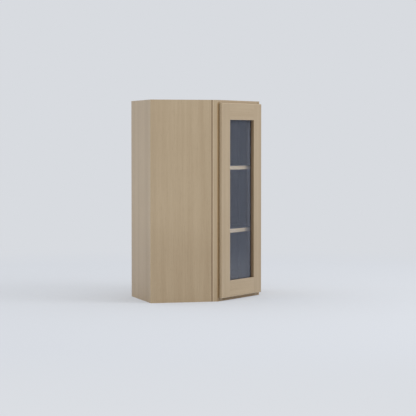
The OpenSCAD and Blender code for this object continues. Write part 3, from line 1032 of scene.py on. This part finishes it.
@dataclass(frozen=True)
class FrontLines:
    """Corner lines of the diagonal front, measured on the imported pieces."""

    WARM = "#bb9526"  # painted shade, in the open corners round the door
    PALE = "#d8c6aa"  # stain worn thin on the door's edges, and a painted highlight on the frame's edge

    # Painted shade: JOINT in the joint's groove, DOOR_SIDE and DOOR_FOOT beside and under the door,
    # BEHIND_EDGE and PANE on the opening's inner edges. JOINT_EDGE is worn stain and a painted
    # highlight; DOOR_EDGE is wear.
    JOINT = Trace(0.0016, 0.003, 0.8)
    JOINT_EDGE = Trace(0.001, 0.0045, 0.3, PALE, Wipe.RUBBED)
    DOOR_SIDE = Trace(0.0115, 0.0140, 0.46, WARM)
    DOOR_FOOT = Trace(0.0135, 0.02, 0.56, WARM)
    DOOR_EDGE = Trace(0.0013, 0.004, 0.25, PALE, Wipe.RUBBED)
    BEHIND_EDGE = Trace(0.001, 0.0036, 0.45, WARM)
    PANE = Trace(0.003, 0.0225, 0.67)
    DUST = (Trace(0.0, 0.04, 0.09), Trace(0.0, 0.04, 0.04))  # painted light on the pane, right of it and above

    GROOVE = 0.8  # where the joint's line lies, from the panel's edge to the frame's
    EDGE_IN = 0.004  # from the frame's edge to its painted highlight, where its stain is also worn thin
    LOWER = (0.01, 0.008)  # how much lower than the door the painted shade beside it begins and ends
    BACK = 0.0035  # from the door's front to the painted shade behind its inner edges

    height: float  # top of the case
    front: float  # face of the door
    face: float  # front of the face frame
    pane: float  # front of the glass
    leaf: Pair  # outer edges of the door
    ends: Pair  # lower and upper edge of the door
    hole: Pair  # upright edges of the door's opening
    sill: Pair  # lower and upper edge of the opening
    groove: Vector  # foot of the left joint between side panel and frame
    rubbed: Vector  # foot of the line beside it where the frame's edge is worn and has a painted highlight

    @classmethod
    def measure(cls) -> "FrontLines":
        """Measure the front.

        Returns:
            Its lines.
        """
        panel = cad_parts["left_side_panel"].data.vertices
        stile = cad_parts["frame_left_stile"].data.vertices
        outer = min(v.co.y for v in panel)
        joint = (
            max(v.co.x for v in panel if v.co.y < outer + HAIR),
            min(v.co.x for v in stile if v.co.y < outer + HAIR),
        )
        panel_edge, frame_edge = (Vector((x, outer, 0.0)) for x in joint)
        left, right = span("door_left_stile", ALONG), span("door_right_stile", ALONG)
        return cls(
            height=span("left_side_panel", UP)[1],
            front=span("door_top_rail", INWARD)[0],
            face=span("frame_top_rail", INWARD)[0],
            pane=span("glass_pane", INWARD)[0],
            leaf=(left[0], right[1]),
            ends=span("door_left_stile", UP),
            hole=(left[1], right[0]),
            sill=(span("door_bottom_rail", UP)[1], span("door_top_rail", UP)[0]),
            groove=panel_edge.lerp(frame_edge, cls.GROOVE),
            rubbed=frame_edge + Vector((cls.EDGE_IN, 0.0, 0.0)),
        )

    def _case_edge(self, trace: Trace, foot: Vector, side: Side) -> Crease:
        """An upright line of the case, whose foot is given for the left."""
        place = foot if side is Side.LEFT else Vector((-foot.y, -foot.x, 0.0))
        return Crease(place, place + UP * self.height, trace)

    def joint(self, side: Side) -> Crease:
        """The fine dark line of painted shade in the groove between side panel and frame."""
        return self._case_edge(self.JOINT, self.groove, side)

    def frame_stile(self, side: Side) -> tuple[Crease, ...]:
        """The lines on a frame stile.

        Args:
            side: Which of the two stiles.

        Returns:
            Its worn edge with a painted highlight, and the painted shade of its joint and corner.
        """
        heights = (self.ends[0] - self.LOWER[0], self.ends[1] - self.LOWER[1])
        return (
            self._case_edge(self.JOINT_EDGE, self.rubbed, side),
            self.joint(side),
            on_front(self.DOOR_SIDE, self.face, self.leaf[side.value], heights),
        )

    def below_door(self) -> Crease:
        """The painted shadow in the corner between the frame and the door's lower edge."""
        return on_front(self.DOOR_FOOT, self.face, self.leaf, self.ends[0])

    def door_stile(self, side: Side) -> tuple[Crease, ...]:
        """The lines on a door stile.

        Args:
            side: Which of the two stiles.

        Returns:
            Its outer, inner, lower and upper edge, worn pale, the painted shade in its corner with
            the glass, and painted shade behind its inner edge.
        """
        inner = self.hole[side.value]
        return (
            on_front(self.DOOR_EDGE, self.front, self.leaf[side.value], self.ends),
            on_front(self.DOOR_EDGE, self.front, inner, self.sill),
            *(on_front(self.DOOR_EDGE, self.front, self.leaf, end) for end in self.ends),
            on_front(self.PANE, self.pane, inner, self.sill),
            on_front(self.BEHIND_EDGE, self.front + self.BACK, inner, self.sill),
        )

    def door_rail(self, end: End) -> tuple[Crease, ...]:
        """The lines on a door rail.

        Args:
            end: Which of the two rails.

        Returns:
            Its outer and inner edge, worn pale, and the painted shade in its corner with the glass.
        """
        inner = self.sill[end.value]
        return (
            on_front(self.DOOR_EDGE, self.front, self.leaf, self.ends[end.value]),
            on_front(self.DOOR_EDGE, self.front, self.hole, inner),
            on_front(self.PANE, self.pane, self.hole, inner),
        )

    def dusty(self) -> tuple[Crease, ...]:
        """The pane's right and upper corners, where more of its diffuse layer paints light over
        shade.
        """
        right = on_front(self.DUST[0], self.pane, self.hole[1], self.sill)
        return right, on_front(self.DUST[1], self.pane, self.hole, self.sill[1])


@dataclass
class Case:
    """The case: side panels, back panels, decks, glue blocks and hanging rails."""

    lines: FrontLines
    bands: float = 20.0  # the veneer's broad stripes in a metre
    # The back panels' stain is a darker, less blue copy of the side veneer: painted shade, for
    # backs that face away from the key lamp.
    stain: tuple[str, str] = ("#b7a181", "#a28b6a")  # of the back panels
    settled: Pair = (0.07, 0.09)  # painted shade low on the side and back panels

    def build(self) -> None:
        """Dress every board of the case."""
        decks = (span("bottom_panel", UP)[1], span("top_panel", UP)[0])
        # Painted shade in the joints and towards the foot.
        left, right = (Glaze((self.lines.joint(side),), self.settled[0]) for side in Side)
        low = Glaze(settled=self.settled[1])
        for place, inside, shift, glaze, stain in (
            ("left_side", (0.0, 1.0, 0.0), (0.05, 0.0, 0.3), left, ()),
            ("right_side", (-1.0, 0.0, 0.0), (0.4, 0.2, 0.1), right, ()),
            ("left_back", (1.0, 0.0, 0.0), (0.0, 0.5, 0.2), low, self.stain),
            ("right_back", (0.0, -1.0, 0.0), (0.7, 0.1, 0.5), low, self.stain),
            ("corner_back", -INWARD, (0.2, 0.9, 0.7), low, self.stain),
        ):
            wood = StainedWood(Grain.UPRIGHT, shift, glaze, *stain, bands=self.bands)
            panel = CasePanel(inside, wood, decks)
            dress(panel.material(f"{place}_panel_veneer"), f"{place}_panel")
        dress(Deck(-UP).material("top_deck"), "top_panel")
        dress(Deck(UP).material("bottom_deck"), "bottom_panel")
        dress(BarePlywood().material("bare_plywood"), "top_corner_blocks", "bottom_corner_blocks")
        rails = SLATE.material("slate_rail")
        for side in Side:
            dress(rails, f"{side}_upper_hanging_rail", f"{side}_lower_hanging_rail")


@dataclass
class FaceFrame:
    """The frame of solid wood round the door opening."""

    lines: FrontLines
    settled: float = 0.08  # painted shade low on the stiles

    def build(self) -> None:
        """Dress its two stiles and two rails."""
        for side, shift in ((Side.LEFT, (0.9, 0.3, 0.0)), (Side.RIGHT, (1.7, 0.8, 0.4))):
            # Painted shade and a painted highlight along the stile's lines, and painted shade
            # towards its foot.
            glaze = Glaze(self.lines.frame_stile(side), self.settled)
            wood = StainedWood(Grain.UPRIGHT, shift, glaze)
            dress(wood.material(f"frame_{side}_wood"), f"frame_{side}_stile")
        for end, shift, creases in (
            (End.TOP, (0.2, 2.3, 0.4), ()),
            (End.BOTTOM, (0.6, 3.1, 0.2), (self.lines.below_door(),)),
        ):
            # The bottom rail has the painted shadow under the door.
            wood = StainedWood(Grain.FRONT, shift, Glaze(creases))
            dress(wood.material(f"frame_{end}_wood"), f"frame_{end}_rail")


@dataclass
class Shelving:
    """Two shelves with solid wood edging, on plated pegs."""

    # The edging is a paler wood than the door's, also painted lighter to make up for the dim light
    # behind the glass.
    stain: tuple[str, str, str] = ("#e2ccae", "#ceb695", "#9f8765")  # of the edging

    def build(self) -> None:
        """Dress shelves, edging and pegs."""
        dress(SLATE.material("slate_shelf"), "upper_shelf", "lower_shelf")
        dress(NICKEL.material("peg_nickel"), "upper_shelf_pegs", "lower_shelf_pegs")
        for i, place in enumerate(("upper", "lower")):
            edge = StainedWood(Grain.FRONT, (0.3 + i, 1.2, 0.7), Glaze(), *self.stain)
            dress(edge.material(f"{place}_edging_wood"), f"{place}_shelf_edging")


@dataclass
class DoorLeaf:
    """The door's frame, its glass and what holds the glass."""

    lines: FrontLines
    screws: ScrewMaker
    zinc: Material
    settled: Pair = (0.0, 0.07)  # painted shade low on the left and right stile
    dust_top: float = 0.45  # pane's height share over which the floor's reflection is painted

    def build(self) -> None:
        """Dress the door and make its screws."""
        for side, shift in ((Side.LEFT, (2.4, 0.2, 0.6)), (Side.RIGHT, (0.1, 2.6, 0.9))):
            # Painted shade by the glass and behind the inner edges, wear on the edges, and painted
            # shade towards the foot.
            glaze = Glaze(self.lines.door_stile(side), self.settled[side.value])
            wood = StainedWood(Grain.UPRIGHT, shift, glaze)
            dress(wood.material(f"door_{side}_wood"), f"door_{side}_stile")
        for end, shift in ((End.BOTTOM, (2.4, 1.5, 0.3)), (End.TOP, (1.4, 0.5, 1.1))):
            wood = StainedWood(Grain.FRONT, shift, Glaze(self.lines.door_rail(end)))
            dress(wood.material(f"door_{end}_wood"), f"door_{end}_rail")
        low, high = span("glass_pane", UP)
        # The pane's diffuse layer paints its reflection, the floor's low down, and light in its
        # right and upper corners.
        glass = FloatGlass((low, low + (high - low) * self.dust_top), self.lines.dusty())
        dress(glass.material("clear_float_glass"), "glass_pane")
        dress(RUBBER.material("black_rubber"), "glass_seal")
        dress(BLACK_PLASTIC.material("clip_plastic"), "glass_clips")
        dress(SOFT_PLASTIC.material("milky_plastic"), "door_bumpers")
        make = self.screws.replace
        make("clip_screws", "glass_clip_screws", "door", Head.PAN, INWARD, self.zinc)


@dataclass
class Ironmongery:
    """The two cup hinges and the magnetic catch."""

    screws: ScrewMaker
    zinc: Material

    def build(self) -> None:
        """Dress hinges and catch, and make their screws."""
        nickel = NICKEL.material("hinge_nickel")
        for place in ("upper", "lower"):
            dress(nickel, f"{place}_hinge_cup", f"{place}_hinge_arm")
        dress(nickel, "strike_plate")
        dress(self.zinc, "hinge_pins")
        dress(BLACK_PLASTIC.material("black_plastic"), "catch_housing")
        dress(MAGNET.material("magnet_steel"), "catch_magnet")
        make, zinc = self.screws.replace, self.zinc
        make("cup_screws", "hinge_cup_screws", "door", Head.FLAT, INWARD, zinc)
        make("strike_screw", "strike_plate_screw", "door", Head.FLAT, INWARD, zinc)
        make("arm_screws", "hinge_arm_screws", "cabinet", Head.PAN, -ALONG, zinc)
        make("housing_screws", "catch_screws", "cabinet", Head.PAN, ALONG, zinc)


# -------- studio


@dataclass
class Studio:
    """Pale floor and backdrop, plain soft light and the camera."""

    backdrop: str = "#d8dbe0"
    near: str = "#dbdee3"
    floor: str = "#d2d6dd"
    cool: str = "#9ba3b3"
    cooling: Pair = (0.2, 0.85)  # how far right a mirrored ray runs where that begins and is full
    depth: Pair = (-1.0, 2.5)  # from where to where the floor turns to the backdrop's colour
    ambient: float = 0.98
    key_power: float = 34.0
    key_from: Triple = (2.6, -1.9, 3.0)
    key_to: Triple = (0.1, -0.1, 0.5)
    key_size: float = 2.4
    glow: float = 0.33
    fade: Pair = (1.3, 3.8)  # how far out the floor begins to fade, and is gone
    reach: float = 60.0
    lens: float = 154.7
    sensor: float = 36.0
    stand: Triple = (-2.2419, -8.0720, 0.7415)
    nod: float = 2.24  # degrees that the camera looks down
    heading: float = 74.15  # degrees from +X that it looks along

    def build(self) -> None:
        """Set the stage."""
        self._world()
        self._floor()
        self._key()
        self._camera()
        bpy.context.scene.view_settings.view_transform = "Standard"
        log.info("studio: floor, backdrop, light and camera")

    @staticmethod
    def _seen(maker: TreeMaker) -> tuple[Value, Value]:
        """Find out what kind of ray meets the backdrop.

        Args:
            maker: The tree that asks.

        Returns:
            1 for a camera's ray and else 0, and 1 for a mirrored or bent ray and else 0.
        """
        path = maker.make("ShaderNodeLightPath")
        bent = maker.number(path, "Is Transmission Ray")
        return maker.number(path, "Is Camera Ray"), maker.number(path, "Is Glossy Ray").top(bent)

    def _tone(self, maker: TreeMaker, right: Value, mirrored: Value, straight: Input) -> Socket:
        """The backdrop's colour, cooler where it is mirrored from the right."""
        return maker.mix(right.ease(*self.cooling) * mirrored, straight, self.cool)

    def _world(self) -> None:
        """Light from all round, with the backdrop where it is seen or mirrored."""
        world = bpy.data.worlds.new("pale_room")
        world.use_nodes = True
        bpy.context.scene.world = world
        maker = TreeMaker(world.node_tree)
        seen, mirrored = self._seen(maker)
        direction = maker.make("ShaderNodeTexCoord").outputs["Generated"]
        tone = self._tone(maker, maker.parts(direction)[0], mirrored, self.backdrop)
        shown = maker.make("ShaderNodeBackground", {0: tone, 1: 1.0})
        light = maker.make("ShaderNodeBackground", {0: "#ffffff", 1: self.ambient})
        both = maker.over(seen.top(mirrored), light, shown)
        maker.make("ShaderNodeOutputWorld", {0: both})

    def _floor(self) -> None:
        """A wide pale floor that fades into the backdrop and keeps the shadow."""
        mesh = bpy.data.meshes.new("floor")
        turns = ((-1, -1), (1, -1), (1, 1), (-1, 1))
        corners = [(x * self.reach, y * self.reach, 0.0) for x, y in turns]
        mesh.from_pydata(corners, [], [(0, 1, 2, 3)])
        floor = add("floor", mesh)
        shader = Shader("pale_floor")
        place = shader.mapped()
        radius = shader.number(shader.vector("LENGTH", {0: place}), "Value")
        away = shader.vector("NORMALIZE", {0: place})
        back = shader.parts(place)[1].ease(*self.depth)
        straight = shader.mix(back, self.near, self.backdrop)
        seen, mirrored = self._seen(shader)
        tone = self._tone(shader, shader.parts(away)[0], mirrored, straight)
        faded = radius.ease(*self.fade).top(seen * self.glow) * seen.top(mirrored)
        matt = shader.make("ShaderNodeBsdfDiffuse", {0: self.floor})
        glow = shader.make("ShaderNodeEmission", {0: tone, 1: 1.0})
        mesh.materials.append(shader.close(shader.over(faded, matt, glow)))

    def _key(self) -> None:
        """A large soft lamp, high in front and to the right."""
        lamp = bpy.data.lights.new("soft_key", "AREA")
        lamp.shape = "DISK"
        lamp.size = self.key_size
        lamp.energy = self.key_power
        key = add("soft_key", lamp)
        key.location = self.key_from
        aim = Vector(self.key_to) - key.location
        key.rotation_euler = aim.to_track_quat("-Z", "Y").to_euler()

    def _camera(self) -> None:
        """A long lens at the height of the upper shelf, left of the cabinet's front."""
        lens = bpy.data.cameras.new("camera")
        lens.lens = self.lens
        lens.sensor_width = self.sensor
        lens.clip_end = 5 * self.reach
        camera = add("camera", lens)
        camera.location = self.stand
        camera.rotation_euler = (math.radians(90 - self.nod), 0.0, math.radians(self.heading - 90))
        bpy.context.scene.camera = camera


def main() -> None:
    """Build the cabinet's looks piece by piece."""
    logging.basicConfig(level=logging.INFO, format="%(name)s %(message)s")
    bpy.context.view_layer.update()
    screws = ScrewMaker()
    zinc = ZINC.material("screw_zinc")
    lines = FrontLines.measure()
    Case(lines).build()
    FaceFrame(lines).build()
    Shelving().build()
    DoorLeaf(lines, screws, zinc).build()
    Ironmongery(screws, zinc).build()
    Studio().build()


if __name__ == "__main__":
    main()
